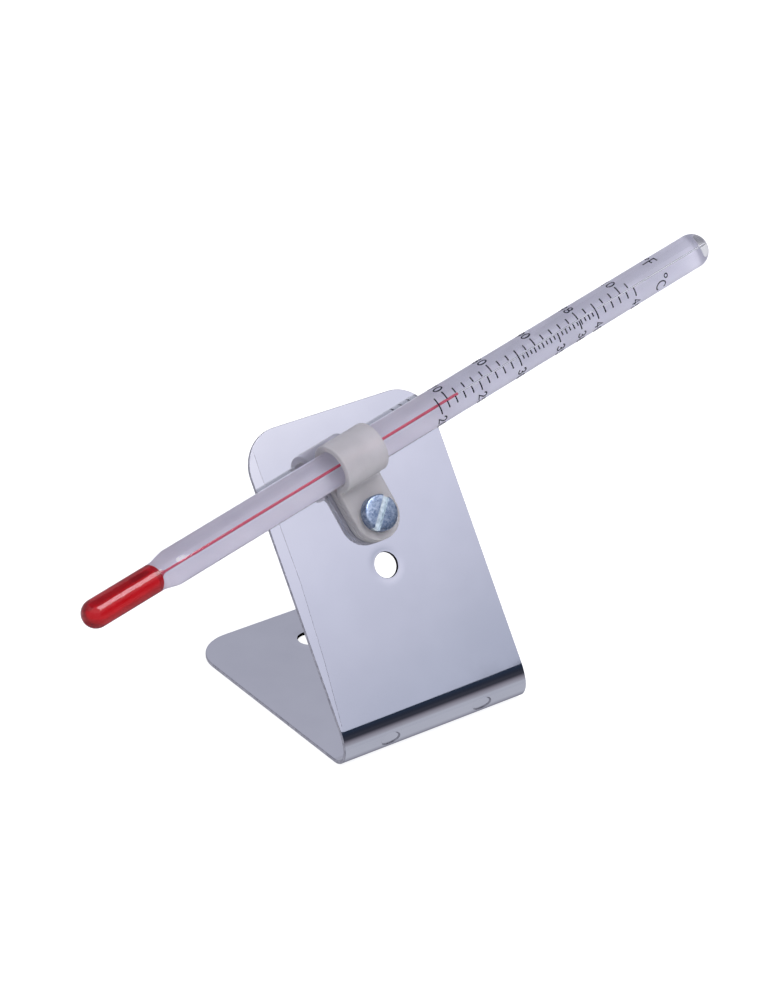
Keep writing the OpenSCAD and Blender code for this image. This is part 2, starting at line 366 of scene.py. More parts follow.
def stand_points():
    """Inner points of the flat sheet, dense in the bend, the dimples, the crease and the rims."""
    half = SHEET_W / 2
    plain = np.vstack([
        grid(-half, half, 0, BASE_LEN - 2.2, 2.1, 2.1),
        grid(-half, half, BASE_LEN - 2, PANEL_S + 2.2, 0.7, 0.22),
        grid(-half + 4.2, half, PANEL_S + 2.6, STAND_LEN, 1.4, 1.4),
    ])
    rings = []
    for cx, cs in DIMPLES:
        r = np.hypot((plain[:, 0] - cx) / DIMPLE_RX, (plain[:, 1] - cs) / DIMPLE_RS)
        plain = plain[(r < 0.6) | (r > 1.15)]
        for size in np.linspace(0.72, 1.04, 11):
            ring = circle_loop(0, 0, size, 80)[0] * (DIMPLE_RX, DIMPLE_RS)
            rings.append(ring + (cx, cs))
    ss = np.linspace(PANEL_S + 2.6, STAND_LEN - 0.6, 84)
    for d in (-2, -1.4, -0.9, -0.5, -0.25, -CREASE_HALF, 0, CREASE_HALF, 0.25, 0.6, 1, 1.6):
        rings.append(np.stack([crease_x(ss) + d, ss], 1))
    for cy in (PANEL_S + SPARE_HOLE, BASE_LEN - BASE_HOLE):
        for r in (2.75, 3.1, 3.6, 4.2, 5.0):
            rings.append(circle_loop(0, cy, r, 56)[0])
    return np.vstack([plain] + rings)


# The strap: s runs from the lower tail's end, round the stem and back along the upper tail
MID_R = (BORE_R + LOOP_R) / 2
LOW_Z = CLIP_LIFT + TAIL_T / 2
HIGH_Z = CLIP_LIFT + TAIL_T * 1.5 + TAIL_GAP
FILLET_R = 1.7
TAIL_END = -CLIP_W / 2


def strap_path():
    """The strap's middle line in (across, normal), as dense points."""
    rise = HIGH_Z + FILLET_R - STEM_Z
    reach = math.sqrt((MID_R + FILLET_R) ** 2 - rise ** 2)
    cy, cz = STEM_OFF - reach, HIGH_Z + FILLET_R
    leave = math.atan2(rise, -reach) % (2 * math.pi)
    pts = [(y, LOW_Z) for y in np.arange(TAIL_END, STEM_OFF - 2.0, 0.1)]
    low = [(STEM_OFF + MID_R * math.cos(a), STEM_Z + MID_R * math.sin(a))
           for a in np.arange(1.5 * math.pi, 2 * math.pi + leave, 0.02)]
    pts += low
    pts += [(cy + FILLET_R * math.cos(a), cz + FILLET_R * math.sin(a))
            for a in np.arange(leave - math.pi, -math.pi / 2, -0.03)]
    pts += [(y, HIGH_Z) for y in np.arange(cy, TAIL_END - 0.05, -0.1)]
    pts = np.array(pts)
    gap = np.concatenate([[0], np.cumsum(np.linalg.norm(np.diff(pts, axis=0), axis=1))])
    s = np.linspace(0, gap[-1], 900)
    path = np.stack([np.interp(s, gap, pts[:, k]) for k in (0, 1)], 1)
    return s, path


STRAP_S, STRAP = strap_path()
STRAP_TAN = np.gradient(STRAP, STRAP_S, axis=0)
STRAP_TAN /= np.linalg.norm(STRAP_TAN, axis=1)[:, None]
STRAP_LEN = float(STRAP_S[-1])
LOOP_FROM, LOOP_TO = 17.0, STRAP_LEN - 12.6


def strap_place(x, s, side):
    """x runs along the stem; the outer face looks away from the stem."""
    p = np.stack([np.interp(s, STRAP_S, STRAP[:, k]) for k in (0, 1)], 1)
    t = np.stack([np.interp(s, STRAP_S, STRAP_TAN[:, k]) for k in (0, 1)], 1)
    t /= np.linalg.norm(t, axis=1)[:, None]
    loop = smooth(LOOP_FROM - 3, LOOP_FROM, s) * (1 - smooth(LOOP_TO, LOOP_TO + 2, s))
    thick = TAIL_T + (STRAP_T - TAIL_T) * loop
    along = t[:, :1] * ACROSS + t[:, 1:] * NORMAL
    nrm = t[:, 1:] * ACROSS - t[:, :1] * NORMAL
    across = np.broadcast_to(-ALONG, nrm.shape)
    pos = SCREW_AT + p[:, :1] * ACROSS + p[:, 1:] * NORMAL + across * x[:, None]
    return pos + nrm * (side * thick / 2)[:, None], nrm * side[:, None], along, across


# ---------------------------------------------------------------- materials
NOISE_ROUGHNESS = 0.55


def colour_ramp(tree, fac, stops):
    """Colours at positions 0 to 1, driven by fac."""
    node = tree.nodes.new("ShaderNodeValToRGB")
    elements = node.color_ramp.elements
    while len(elements) < len(stops):
        elements.new(0.5)
    for element, (at, colour) in zip(elements, stops):
        element.position = at
        element.color = (*colour, 1)
    tree.links.new(fac, node.inputs["Fac"])
    return node.outputs["Color"]


class Nodes:
    """Small helper that builds one material's node tree."""

    def __init__(self, name):
        self.material = bpy.data.materials.new(name)
        self.material.use_nodes = True
        self.tree = self.material.node_tree
        self.shader = self.tree.nodes["Principled BSDF"]
        self.output = self.tree.nodes["Material Output"]
        self.coords = self.tree.nodes.new("ShaderNodeTexCoord").outputs["Object"]

    def set(self, **values):
        for key, value in values.items():
            self.shader.inputs[key.replace("_", " ")].default_value = value
        return self

    def link(self, a, b):
        self.tree.links.new(a, b)

    def mapped(self, scale):
        node = self.tree.nodes.new("ShaderNodeMapping")
        node.inputs["Scale"].default_value = scale
        self.link(self.coords, node.inputs["Vector"])
        return node.outputs["Vector"]

    def noise(self, scale, detail, vector=None):
        node = self.tree.nodes.new("ShaderNodeTexNoise")
        node.inputs["Scale"].default_value = scale
        node.inputs["Detail"].default_value = detail
        node.inputs["Roughness"].default_value = NOISE_ROUGHNESS
        self.link(vector or self.coords, node.inputs["Vector"])
        return node.outputs["Fac"]

    def ramp(self, fac, stops):
        return colour_ramp(self.tree, fac, stops)

    def range(self, fac, low, high, start=0.3, end=0.7):
        """Maps fac from start..end to low..high."""
        node = self.tree.nodes.new("ShaderNodeMapRange")
        node.inputs["From Min"].default_value = start
        node.inputs["From Max"].default_value = end
        node.inputs["To Min"].default_value = low
        node.inputs["To Max"].default_value = high
        self.link(fac, node.inputs["Value"])
        return node.outputs["Result"]

    def bump(self, height, distance, strength=1.0, normal=None):
        node = self.tree.nodes.new("ShaderNodeBump")
        node.inputs["Distance"].default_value = distance
        node.inputs["Strength"].default_value = strength
        self.link(height, node.inputs["Height"])
        if normal is not None:
            self.link(normal, node.inputs["Normal"])
        return node.outputs["Normal"]

    def colour(self, socket):
        self.link(socket, self.shader.inputs["Base Color"])

    def rough(self, socket):
        self.link(socket, self.shader.inputs["Roughness"])

    def normal(self, socket):
        self.link(socket, self.shader.inputs["Normal"])


def polished_sheet():
    m = Nodes("polished_sheet").set(Metallic=1.0)
    m.colour(m.ramp(m.noise(90, 2), [(0.35, (0.77, 0.78, 0.87)), (0.65, (0.80, 0.81, 0.90))]))
    brushed = m.noise(1.0, 3, m.mapped((2600, 160, 160)))
    m.rough(m.range(m.noise(140, 4), 0.025, 0.07))
    m.normal(m.bump(brushed, 0.0000004, 0.5))
    return m.material


def edge_and_painted_shade_metal():
    # Dark metal of the sheet's cut edges, also painted as shade on the crease line and the dimples'
    # lower walls.
    m = Nodes("sheared_edge_and_painted_shade").set(Metallic=1.0)
    m.colour(m.ramp(m.noise(1500, 3), [(0.3, (0.26, 0.26, 0.31)), (0.7, (0.50, 0.50, 0.57))]))
    m.rough(m.range(m.noise(2400, 2), 0.22, 0.42))
    m.normal(m.bump(m.noise(3000, 2), 0.00001, 0.5))
    return m.material


def natural_nylon():
    m = Nodes("natural_nylon").set(
        Subsurface_Weight=0.4, Subsurface_Scale=0.0012, Subsurface_Radius=(1.0, 0.95, 0.9),
        Transmission_Weight=0.62, IOR=1.4)
    m.colour(m.ramp(m.noise(260, 4), [(0.3, (0.75, 0.73, 0.745)), (0.7, (0.84, 0.82, 0.835))]))
    m.rough(m.range(m.noise(700, 3), 0.36, 0.5))
    m.normal(m.bump(m.noise(1100, 2), 0.00002, 0.3))
    return m.material


def turned_zinc(name, low, high, rough_low, rough_high):
    m = Nodes(name).set(Metallic=1.0)
    m.colour(m.ramp(m.noise(1500, 4), [(0.34, low), (0.66, high)]))
    m.rough(m.range(m.noise(1800, 3), rough_low, rough_high))
    coarse = m.bump(m.noise(1700, 3), 0.00002, 0.4)
    m.normal(m.bump(m.noise(5200, 2), 0.000006, 0.4, coarse))
    return m.material


def clear_glass(name, tint, rough):
    m = Nodes(name).set(Transmission_Weight=1.0, IOR=1.5, Specular_Tint=(0.8, 0.8, 0.82, 1))
    m.colour(m.ramp(m.noise(60, 2), [(0.3, tint), (0.7, (0.99, 0.99, 1.0))]))
    m.rough(m.range(m.noise(400, 3), 0.6 * rough, rough))
    drawn = m.noise(1.0, 2, m.mapped((30, 300, 300)))
    m.normal(m.bump(drawn, 0.0000004, 0.4))
    return m.material


def white_enamel():
    m = Nodes("white_enamel").set(IOR=1.5)
    m.colour(m.ramp(m.noise(1.0, 3, m.mapped((40, 700, 700))),
                    [(0.3, (0.775, 0.765, 0.885)), (0.7, (0.84, 0.83, 0.94))]))
    m.rough(m.range(m.noise(900, 3), 0.35, 0.55))
    m.normal(m.bump(m.noise(1600, 2), 0.00001, 0.3))
    return m.material


def red_spirit():
    m = Nodes("red_spirit").set(Transmission_Weight=0.78, IOR=1.0, Specular_IOR_Level=0.0)
    m.colour(m.ramp(m.noise(420, 3), [(0.3, (0.84, 0.05, 0.08)), (0.7, (0.92, 0.08, 0.12))]))
    m.rough(m.range(m.noise(500, 2), 0.0, 0.01))
    volume = m.tree.nodes.new("ShaderNodeVolumeAbsorption")
    volume.inputs["Color"].default_value = (0.96, 0.05, 0.10, 1)
    volume.inputs["Density"].default_value = 560
    m.link(volume.outputs["Volume"], m.output.inputs["Volume"])
    return m.material


def red_thread():
    m = Nodes("red_thread").set(IOR=1.36)
    m.colour(m.ramp(m.noise(900, 3), [(0.3, (0.64, 0.06, 0.13)), (0.7, (0.74, 0.09, 0.17))]))
    m.rough(m.range(m.noise(700, 2), 0.3, 0.45))
    return m.material


def scale_ink():
    m = Nodes("scale_ink").set(Specular_IOR_Level=0.2)
    m.colour(m.ramp(m.noise(4200, 3),
                    [(0.3, (0.006, 0.006, 0.016)), (0.75, (0.022, 0.020, 0.050))]))
    m.rough(m.range(m.noise(2500, 2), 0.5, 0.7))
    m.normal(m.bump(m.noise(5000, 2), 0.00001, 0.3))
    return m.material


# ---------------------------------------------------------------- pieces
def build_stand(metal, edge_and_shade_metal):
    holes = [(0.0, BASE_LEN - BASE_HOLE, HOLE_R), (0.0, PANEL_S + SPARE_HOLE, HOLE_R),
             (0.0, PANEL_S + SCREW_HOLE, HOLE_R)]
    verts, faces, cut, norms = folded_sheet(
        SHEET_W, STAND_LEN, CORNER_R, holes, stand_points(), stand_place, 0.09, 0.6)
    # Painted shade: the crease line and the dimples' lower walls take the dark edge metal, like the
    # cut edges.
    cut = paint_crease_and_dimple_shade(verts, faces, cut)
    return add_piece("stand_sheet", verts, faces, "stand", [metal, edge_and_shade_metal],
                     node="stand", indices=cut, normals=norms)


def paint_crease_and_dimple_shade(verts, faces, cut):
    """Paints shade on the crease line and the dimples' lower walls by giving them the dark edge
    metal.
    """
    middles = np.array([verts[face].mean(0) for face in faces])
    centres, round_bend = middles - PANEL_FOOT, middles - BEND
    up, out = centres @ UP, centres @ NORMAL
    # Painted shade: a thin line of dark edge metal along the crease.
    near = np.abs(centres[:, 0] - crease_x(up + PANEL_S)) < CREASE_HALF
    painted_shade_faces = near & (np.abs(out) < 0.15) & (up > 2.7) & (up < PANEL_LEN - 2)
    turn = np.arctan2(-round_bend[:, 1], round_bend[:, 2])
    s = PANEL_S - (turn - LEAN) * BEND_R
    outer = np.hypot(round_bend[:, 1], round_bend[:, 2]) > BEND_R - SHEET_T * 0.8
    for cx, cs in DIMPLES:
        dx, ds = (centres[:, 0] - cx) / DIMPLE_RX, (s - cs) / DIMPLE_RS
        r, side = np.hypot(dx, ds), np.arctan2(ds, dx)
        # Painted shade: the dimples' lower and right walls get the dark edge metal.
        wall = (r > DIMPLE_LIP - 0.02) & (r < 0.97)
        lower = (side > math.radians(-150)) & (side < math.radians(50))
        painted_shade_faces |= wall & lower & outer & (turn > 0)
    return [1 if c or hit else 0 for c, hit in zip(cut, painted_shade_faces)]


def build_clip(nylon):
    half, hole = CLIP_W / 2, SCREW_R + 0.08
    holes = [(0.0, half, hole), (0.0, STRAP_LEN - half, hole)]
    points = grid(-half, half, 0, STRAP_LEN, 0.5, 0.2)
    verts, faces, _, norms = folded_sheet(
        CLIP_W, STRAP_LEN, half - 0.001, holes, points, strap_place, 0.28, 0.3, rim_steps=5)
    return add_piece("clip_strap", verts, faces, "clip", [nylon],
                     node="p_clip", normals=norms)


def taper(t):
    """A straight rise from 0 to 1 with its two ends softened."""
    return 0.65 * t + 0.35 * t * t * (3 - 2 * t)


def glass_radius(z):
    """The glass's outside radius along the stem."""
    t = np.clip((z - SHOULDER_FOOT) / (SHOULDER_TOP - SHOULDER_FOOT), 0, 1)
    r = BULB_R + (STEM_R - BULB_R) * taper(t)
    rise = np.clip(z - (STEM_TOP - STEM_R), 0, STEM_R)
    return r - STEM_R + np.sqrt(STEM_R ** 2 - rise ** 2)


def build_glass(glass):
    shoulder = [(SHOULDER_FOOT + t * (SHOULDER_TOP - SHOULDER_FOOT),
                 BULB_R + (STEM_R - BULB_R) * taper(t)) for t in np.linspace(0, 1, 15)]
    tip = [(BULB_TIP + BULB_R * (1 - math.cos(a)), BULB_R * math.sin(a))
           for a in np.linspace(0, math.pi / 2, 25)]
    dome = [(STEM_TOP - STEM_R * (1 - math.sin(a)), STEM_R * math.cos(a))
            for a in np.linspace(0, math.pi / 2, 29)]
    dome[-1] = (STEM_TOP, 0.0)
    body = [(z, STEM_R) for z in np.linspace(SHOULDER_TOP, STEM_TOP - STEM_R, 60)[1:-1]]
    outer = lathe(on_stem, tip + shoulder + body + dome, 128, flip=True)
    bore = [(CORE_TOP + 0.3, 0.0), (CORE_TOP + 0.3, BORE_LINE_R)]
    bore += [(z, BORE_LINE_R) for z in np.linspace(CORE_TOP + 3, CAPILLARY_TOP - 2, 24)]
    bore += [(CAPILLARY_TOP - 1.4, 0.14), (CAPILLARY_TOP - 1.0, 0.2), (CAPILLARY_TOP - 0.4, 0.19),
             (CAPILLARY_TOP - 0.1, 0.12), (CAPILLARY_TOP, 0.0)]
    inner = lathe(on_stem, bore, 24)
    verts, faces = joined(outer, inner)
    return add_piece("thermometer_glass", verts, faces, "thermometer", [glass],
                     node=["stem_glass", "bulb_glass"], sharp=50)


def build_enamel(enamel):
    turns = np.linspace(-STRIP_HALF, STRIP_HALF, 49) + math.pi
    ends = np.concatenate([np.linspace(STRIP_FOOT, SHOULDER_TOP + 1, 16),
                           np.linspace(SHOULDER_TOP + 4, STEM_TOP - STEM_R - 1, 30),
                           np.linspace(STEM_TOP - STEM_R, STRIP_TOP, 12)])
    rows = []
    for z in ends:
        outer = min(STRIP_R1, float(glass_radius(z)) - 0.35)
        ring = [on_stem(z, turns, outer), on_stem(z, turns[::-1], outer - (STRIP_R1 - STRIP_R0))]
        rows.append(np.vstack(ring))
    cols = len(rows[0])
    verts = np.vstack(rows)
    faces = grid_faces(len(rows), cols)
    top = (len(rows) - 1) * cols
    faces += [list(range(cols))[::-1], list(range(top, top + cols))]
    return add_piece("enamel_back", verts, faces, "thermometer", [enamel],
                     node="enamel_strip", sharp=40)


def build_spirit(liquid, thread):
    r = WELL_R
    low, high = BULB_TIP + BULB_WALL + r, WELL_TOP - r
    tip = [(low - r * math.cos(a), r * math.sin(a)) for a in np.linspace(0, math.pi / 2, 21)]
    top = [(high + r * math.sin(a), r * math.cos(a)) for a in np.linspace(0, math.pi / 2, 21)]
    body = [(z, r) for z in np.linspace(low, high, 14)[1:-1]]
    top[-1] = (WELL_TOP, 0.0)
    verts, faces = lathe(on_stem, tip + body + top, 72)
    add_piece("spirit_in_bulb", verts, faces, "thermometer", [liquid],
              node="spirit_reservoir")
    core = [(WELL_TOP + 0.02, 0.0), (WELL_TOP + 0.02, 0.5), (WELL_TOP + 0.25, 0.36),
            (WELL_TOP + 0.6, 0.24), (WELL_TOP + 1.2, CORE_R)]
    core += [(z, CORE_R) for z in np.linspace(WELL_TOP + 2, CORE_TOP, 20)] + [(CORE_TOP, 0.0)]
    verts, faces = lathe(on_stem, core, 32)
    add_piece("spirit_core", verts, faces, "thermometer", [thread])
    ring = [(COLUMN_FOOT, THREAD_BORE), (COLUMN_FOOT, THREAD_R)]
    ring += [(z, THREAD_R) for z in np.linspace(COLUMN_FOOT + 1, LEVEL - 1, 30)]
    ring += [(LEVEL, THREAD_R), (LEVEL, THREAD_BORE)]
    ring += [(z, THREAD_BORE) for z in np.linspace(LEVEL - 1, COLUMN_FOOT + 1, 30)]
    verts, faces = lathe(on_stem, ring, 40, closed=True, flip=True)
    add_piece("spirit_thread", verts, faces, "column", [thread],
              node="spirit_column")


def build_screw(zinc, slot_highlight_zinc):
    """Slotted cheese head with a bevelled rim, on a threaded shank."""
    foot, head = TAILS_TOP + 0.01, TAILS_TOP + HEAD_H
    rim = [(head, 0.0), (head, HEAD_R - 1.0), (head - 0.05, HEAD_R - 0.42)]
    rim += [(head - 0.05 - 0.32 * (1 - math.cos(a)), HEAD_R - 0.42 + 0.42 * math.sin(a))
            for a in np.linspace(0.25, math.pi / 2, 6)]
    rim += [(foot + 0.12, HEAD_R), (foot + 0.03, HEAD_R - 0.04), (foot, HEAD_R - 0.14), (foot, 0.0)]
    verts, faces = lathe(on_screw, rim[::-1], 112)
    head_piece = add_piece("screw_head", verts, faces, "stand", [zinc, slot_highlight_zinc],
                           sharp=24)
    cut_slot(head_piece, head)
    # Painted highlight: the slot's walls and floor get a lighter copy of the zinc.
    for face in head_piece.data.polygons:
        centre = np.array(face.center) / MM - SCREW_AT
        height, across = centre @ NORMAL, centre @ slot_across()
        if foot + 0.3 < height <= head - 0.02 and abs(across) < SLOT_W / 2 + 0.03:
            face.material_index = 1
    add_threads(zinc, foot)


def slot_across():
    """The direction across the screw's slot."""
    return np.cross(UP * math.cos(SLOT_TURN) + X * math.sin(SLOT_TURN), NORMAL)


def cut_slot(piece, head):
    """Cuts the slot and breaks the sharp edges."""
    up = UP * math.cos(SLOT_TURN) + X * math.sin(SLOT_TURN)
    wide = slot_across()
    corners = []
    for dz in (-SLOT_DEPTH, 1.0):
        for a, b in ((-1, -1), (1, -1), (1, 1), (-1, 1)):
            corners.append(SCREW_AT + NORMAL * (head + dz) + up * a * 6 + wide * b * SLOT_W / 2)
    mesh = bpy.data.meshes.new("slot_cutter")
    corners = np.array(corners)
    faces = [[0, 3, 2, 1], [4, 5, 6, 7], [0, 1, 5, 4], [1, 2, 6, 5], [2, 3, 7, 6], [3, 0, 4, 7]]
    mesh.from_pydata((corners * MM).tolist(), [], outward(corners - corners.mean(0), faces))
    cutter = bpy.data.objects.new("slot_cutter", mesh)
    bpy.context.scene.collection.objects.link(cutter)
    cut = piece.modifiers.new("slot", "BOOLEAN")
    cut.operation, cut.solver, cut.object = "DIFFERENCE", "EXACT", cutter
    bevel = piece.modifiers.new("edges", "BEVEL")
    bevel.width, bevel.segments, bevel.limit_method = 0.00007, 2, "ANGLE"
    bevel.angle_limit = math.radians(50)
    bake_modifiers(piece)
    bpy.data.objects.remove(cutter)


def bake_modifiers(piece):
    """Makes the modified shape the piece's own mesh."""
    evaluated = piece.evaluated_get(bpy.context.evaluated_depsgraph_get())
    mesh = bpy.data.meshes.new_from_object(evaluated)
    piece.modifiers.clear()
    piece.data = mesh
    mesh.shade_smooth()
    mesh.set_sharp_from_angle(angle=math.radians(17))


def add_threads(zinc, foot):
    """The shank, with a 0.7 mm thread on the part that sticks out of the nut."""
    pitch, depth, segs = 0.7, 0.22, 48
    tip = TAILS_TOP - SCREW_LEN
    zs = np.arange(tip + 0.12, foot, pitch / 8)
    turns = np.linspace(0, 2 * math.pi, segs, endpoint=False)
    gz, gt = np.meshgrid(zs, turns, indexing="ij")
    phase = (gz / pitch + gt / (2 * math.pi)) % 1
    cut = depth * np.abs(2 * phase - 1) * smooth(foot, foot - 1.0, gz)
    r = SCREW_R - cut - 0.35 * (1 - smooth(tip, tip + 0.5, gz))
    verts = on_screw(gz, gt, r).reshape(-1, 3)
    faces = grid_faces(len(zs), segs)
    last = (len(zs) - 1) * segs
    faces += [list(range(segs))[::-1], list(range(last, last + segs))]
    add_piece("screw_thread", verts, faces, "stand", [zinc], node="clip_screw",
              sharp=50)


def ring_profile(z0, z1, inner, outer, size):
    """A ring's section with chamfered corners."""
    pts = [(z0, inner + size), (z0, outer - size), (z0 + size * 0.3, outer - size * 0.3)]
    pts += [(z0 + size, outer), (z1 - size, outer), (z1 - size * 0.3, outer - size * 0.3)]
    pts += [(z1, outer - size), (z1, inner + size), (z1 - size * 0.3, inner + size * 0.3)]
    pts += [(z1 - size, inner), (z0 + size, inner), (z0 + size * 0.3, inner + size * 0.3)]
    return pts


def build_washers(zinc, spring_steel):
    """A flat washer, and a split one whose ends stand apart."""
    back = -SHEET_T - 0.01
    flat = ring_profile(back - WASHER_T, back, SCREW_R + 0.15, WASHER_R, 0.1)
    verts, faces = lathe(on_screw, flat, 96, closed=True)
    add_piece("flat_washer", verts, faces, "stand", [zinc], node="plain_washer")
    top = -SHEET_T - WASHER_T
    prof = np.array(ring_profile(top - SPRING_T, top - 0.02, SCREW_R + 0.05, SPRING_R, 0.08))
    cols = len(prof)
    half_slit = 0.14
    turns = np.linspace(half_slit, 2 * math.pi - half_slit, 90)
    lean = (prof[:, 0] - top + SPRING_T / 2) * 0.09
    verts = [on_screw(prof[:, 0], t + lean, prof[:, 1]) for t in turns]
    faces = grid_faces(len(turns), cols, flip=True)
    last = (len(turns) - 1) * cols
    faces += [list(range(cols)), list(range(last, last + cols))[::-1]]
    add_piece("split_washer", np.vstack(verts), faces, "stand", [spring_steel],
              node="spring_washer")


def build_nut(zinc):
    """Hexagon with chamfered corners on both faces and a countersunk bore."""
    top = -SHEET_T - WASHER_T - SPRING_T - 0.01
    low = top - NUT_H + 0.01
    flat, segs = NUT_FLATS / 2, 180
    turns = np.linspace(0, 2 * math.pi, segs, endpoint=False)
    off = (turns % (math.pi / 3)) - math.pi / 6
    hexagon = flat / np.cos(off)
    rows = []
    for z, cap in [(low, 2.25), (low, flat * 0.94), (low + 0.07, flat * 1.0), (low + 0.18, 3.71),
                   (low + 0.3, 3.9), (low + 0.42, 4.1), (low + 0.6, 9)]:
        rows.append((z, np.minimum(hexagon, cap)))
    rows += [(low + top - z, r) for z, r in rows[::-1]]
    verts = [on_screw(z, turns, r) for z, r in rows]
    inner = [(top - 0.25, 2.02), (top - 1.2, 2.02), (low + 1.2, 2.02), (low + 0.25, 2.02)]
    verts += [on_screw(z, turns, r) for z, r in inner]
    faces = grid_faces(len(verts), segs, wrap_rows=True)
    add_piece("hexagon_nut", np.vstack(verts), faces, "stand", [zinc],
              node="hex_nut", sharp=20)


# ---------------------------------------------------------------- printed scale
def arc_points(cx, cy, rx, ry, start, end, n=14):
    angles = [math.radians(start + (end - start) * i / n) for i in range(n + 1)]
    return [(cx + rx * math.cos(a), cy + ry * math.sin(a)) for a in angles]


# Each glyph is a list of lines in a box 1 wide and 1 high
GLYPHS = {
    "0": [arc_points(0.5, 0.5, 0.42, 0.5, 0, 360, 26)],
    "1": [[(0.2, 0.78), (0.52, 1.0), (0.52, 0.0)]],
    "2": [arc_points(0.5, 0.72, 0.4, 0.28, 165, -35) + [(0.08, 0.0), (0.95, 0.0)]],
    "3": [arc_points(0.48, 0.75, 0.38, 0.25, 150, -80)
          + arc_points(0.48, 0.26, 0.42, 0.26, 80, -150)],
    "4": [[(0.68, 0.0), (0.68, 1.0), (0.05, 0.3), (0.95, 0.3)]],
    "5": [[(0.85, 1.0), (0.22, 1.0), (0.16, 0.56)] + arc_points(0.48, 0.31, 0.4, 0.31, 130, -150)],
    "7": [[(0.08, 1.0), (0.92, 1.0), (0.4, 0.0)]],
    "8": [arc_points(0.5, 0.75, 0.34, 0.25, -90, 270, 20),
          arc_points(0.5, 0.26, 0.42, 0.26, 90, 450, 22)],
    "9": [arc_points(0.5, 0.7, 0.38, 0.3, 0, 360, 22), [(0.88, 0.7), (0.8, 0.3), (0.45, 0.0)]],
    "F": [[(0.1, 0.0), (0.1, 1.0), (0.85, 1.0)], [(0.1, 0.54), (0.72, 0.54)]],
    "C": [arc_points(0.55, 0.5, 0.48, 0.5, 48, 312, 22)],
    "o": [arc_points(0.5, 0.5, 0.5, 0.5, 0, 360, 20)],
}
INK_T, STROKE = 0.028, 0.29
FIGURE_W, FIGURE_H, FIGURE_GAP = 1.15, 1.95, 0.42
CELSIUS_TURN, FAHRENHEIT_TURN = math.radians(-38.5), math.radians(44)
CELSIUS_NUMBERS = [(20, "20"), (25, "25"), (30, "30"), (35, "35"), (37.78, "38"), (40, "40"),
                   (45, "45")]
FAHRENHEIT_NUMBERS = [(70, "70"), (80, "80"), (90, "90"), (100, "98"), (110, "110")]
# Letter, turn in degrees, foot, width, height and line width
UNITS = [("F", 57, 78.2, 1.15, 2.9, STROKE), ("o", 79, 79.9, 0.8, 0.8, 0.24),
         ("C", -27, 78.0, 1.9, 2.45, STROKE), ("o", -13, 80.4, 0.8, 0.8, 0.26)]


def stroke(points, width, left_turn, foot, w, h):
    """A ribbon of ink along points in a glyph's box, wrapped on the stem."""
    pts = np.array(points) * (w, h)
    closed = np.linalg.norm(pts[0] - pts[-1]) < 1e-6
    if closed:
        pts = pts[:-1]
    ahead = np.roll(pts, -1, 0) - pts
    behind = pts - np.roll(pts, 1, 0)
    if not closed:
        ahead[-1], behind[0] = behind[-1], ahead[0]
    ahead /= np.linalg.norm(ahead, axis=1)[:, None]
    behind /= np.linalg.norm(behind, axis=1)[:, None]
    tan = ahead + behind
    tan /= np.linalg.norm(tan, axis=1)[:, None]
    side = np.stack([-tan[:, 1], tan[:, 0]], 1)
    miter = 1 / np.clip((side * np.stack([-ahead[:, 1], ahead[:, 0]], 1)).sum(1), 0.6, 1)
    if not closed:
        pts[0] -= ahead[0] * width / 2
        pts[-1] += ahead[-1] * width / 2
    reach = side * (miter * width / 2)[:, None]
    rows = []
    for offset, r in ((reach, STEM_R + 0.002), (-reach, STEM_R + 0.002),
                      (-reach, STEM_R + INK_T), (reach, STEM_R + INK_T)):
        flat = pts + offset
        rows.append(on_stem(foot + flat[:, 1], left_turn - flat[:, 0] / STEM_R, r))
    verts = np.stack(rows, 1).reshape(-1, 3)
    faces = grid_faces(len(pts), 4, wrap_rows=closed, wrap_cols=True)
    if not closed:
        last = (len(pts) - 1) * 4
        faces += [[3, 2, 1, 0], [last, last + 1, last + 2, last + 3]]
    return verts, faces


def write(text, start_turn, foot, w=FIGURE_W, h=FIGURE_H, width=STROKE):
    """Ink for a word that starts at start_turn and reads down and round the stem."""
    parts = []
    for i, letter in enumerate(text):
        left = start_turn - i * (w + FIGURE_GAP) / STEM_R
        for points in GLYPHS[letter]:
            parts.append(stroke(points, width, left, foot, w, h))
    return parts


def level(celsius):
    """Where a temperature lies along the stem."""
    return SCALE_START + DEGREE * (celsius - 20)


def build_numbers(ink):
    celsius, fahrenheit, units = [], [], []
    for value, text in CELSIUS_NUMBERS:
        celsius += write(text, CELSIUS_TURN, level(value) - FIGURE_H / 2)
    for value, text in FAHRENHEIT_NUMBERS:
        wide = len(text) * FIGURE_W + (len(text) - 1) * FIGURE_GAP
        at = level((value - 32) / 1.8) - FIGURE_H / 2
        fahrenheit += write(text, FAHRENHEIT_TURN + wide / STEM_R, at)
    for letter, turn, foot, w, h, width in UNITS:
        units += write(letter, math.radians(turn), foot, w, h, width)
    for name, parts in (("celsius_numbers", celsius), ("fahrenheit_numbers", fahrenheit),
                        ("unit_letters", units)):
        verts, faces = joined(*parts)
        add_piece(name, verts, faces, "thermometer", [ink], sharp=40)


# ---------------------------------------------------------------- studio
CAMERA_TARGET = (0.00189, -0.02120, 0.04044)
CAMERA_AZIMUTH, CAMERA_ELEVATION = math.radians(-35.42), math.radians(28.6)
CAMERA_DISTANCE, CAMERA_LENS = 0.6475, 124.65


def direction(azimuth, elevation):
    """Away from the object at an azimuth, which is 0 in front, and an elevation."""
    a, e = azimuth, elevation
    return Vector((math.sin(a) * math.cos(e), -math.cos(a) * math.cos(e), math.sin(e)))


def aim(obj, target):
    obj.rotation_euler = (Vector(target) - obj.location).to_track_quat("-Z", "Y").to_euler()


